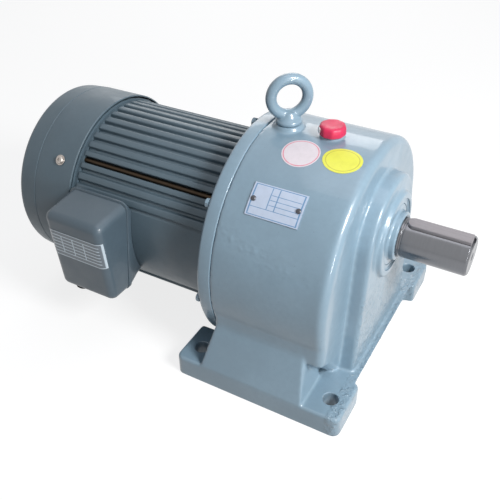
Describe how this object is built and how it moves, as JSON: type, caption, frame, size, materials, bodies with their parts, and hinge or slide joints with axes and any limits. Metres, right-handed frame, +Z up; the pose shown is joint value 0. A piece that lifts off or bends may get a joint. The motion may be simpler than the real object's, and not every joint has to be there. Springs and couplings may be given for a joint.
{
  "type": "foot-mounted gear motor",
  "caption": "Foot-mounted gear motor: finned motor with fan cover and side terminal box, round gear case, keyed output shaft, lifting eye and red filler cap.",
  "frame": {"origin": "centre of the foot's four-hole pattern, on the base plane", "axes": "+X along the output shaft towards its tip, +Z up from the base plane, so the terminal box is on the -Y side"},
  "size_m": [0.5506, 0.3243, 0.3373],
  "materials": {
    "case_paint": "satin gloss blue-grey paint on a cast surface",
    "motor_paint": "satin dark blue-grey paint",
    "shaft_steel": "ground bright",
    "gear_steel": "machined and oiled",
    "core_steel": "stacked laminations",
    "bearing_steel": "ground",
    "cast_iron": "raw casting",
    "copper": "enamelled wire",
    "rubber": "matte",
    "fan_plastic": "moulded",
    "cap_plastic": "glossy red",
    "zinc_steel": "zinc plated",
    "rod_steel": "dark drawn steel",
    "plate_aluminium": "thin satin plate",
    "terminal_resin": "moulded resin"
  },
  "bodies": {
    "housing": {"bearing_carrier": "cast_iron", "cable_entry_plug": "rubber", "carrier_screw_1": "zinc_steel", "carrier_screw_2": "zinc_steel", "carrier_screw_3": "zinc_steel", "carrier_screw_4": "zinc_steel", "eye_bolt": "case_paint", "fan_cover": "motor_paint", "fan_cover_screw_1": "zinc_steel", "fan_cover_screw_2": "zinc_steel", "fan_cover_screw_3": "zinc_steel", "fan_cover_screw_4": "zinc_steel", "flange_bolt_1": "zinc_steel", "flange_bolt_2": "zinc_steel", "flange_bolt_3": "zinc_steel", "flange_bolt_4": "zinc_steel", "flange_bolt_5": "zinc_steel", "flange_bolt_6": "zinc_steel", "flange_bolt_7": "zinc_steel", "gear_case": "case_paint", "intermediate_front_bearing": "bearing_steel", "intermediate_rear_bearing": "bearing_steel", "motor_flange": "case_paint", "motor_frame": "motor_paint", "motor_front_bearing": "bearing_steel", "motor_oil_seal": "rubber", "motor_rear_bearing": "bearing_steel", "nameplate": "plate_aluminium", "nameplate_rivet_1": "plate_aluminium", "nameplate_rivet_2": "plate_aluminium", "oil_filler_cap": "cap_plastic", "oil_seal": "case_paint", "output_front_bearing": "bearing_steel", "output_rear_bearing": "bearing_steel", "rear_end_shield": "motor_paint", "stator_core": "core_steel", "terminal_block": "terminal_resin", "terminal_box_base": "motor_paint", "terminal_box_cover": "motor_paint", "terminal_cover_screw": "zinc_steel", "tie_rod_1": "rod_steel", "tie_rod_2": "rod_steel", "tie_rod_3": "rod_steel", "tie_rod_4": "rod_steel", "winding_front": "copper", "winding_rear": "copper"},
    "output": {"output_shaft": "shaft_steel", "output_key": "shaft_steel", "output_gear": "gear_steel", "output_gear_key": "shaft_steel"},
    "intermediate": {"intermediate_shaft": "gear_steel", "intermediate_gear": "gear_steel"},
    "rotor": {"motor_shaft": "gear_steel", "rotor_core": "core_steel", "cooling_fan": "fan_plastic", "fan_circlip": "zinc_steel"}
  },
  "joints": [
    {"name": "output_spin", "type": "hinge", "parent": "housing", "child": "output", "pos_m": [0, 0, 0.174], "axis": [1, 0, 0], "continuous": true},
    {"name": "intermediate_spin", "type": "hinge", "parent": "housing", "child": "intermediate", "pos_m": [0, 0, 0.069], "axis": [1, 0, 0], "continuous": true},
    {"name": "rotor_spin", "type": "hinge", "parent": "housing", "child": "rotor", "pos_m": [0, 0, 0.134], "axis": [1, 0, 0], "continuous": true}
  ],
  "couplings": [
    {"joint": "intermediate_spin", "follows": "output_spin", "ratio": -3.375},
    {"joint": "rotor_spin", "follows": "output_spin", "ratio": 13.5}
  ]
}
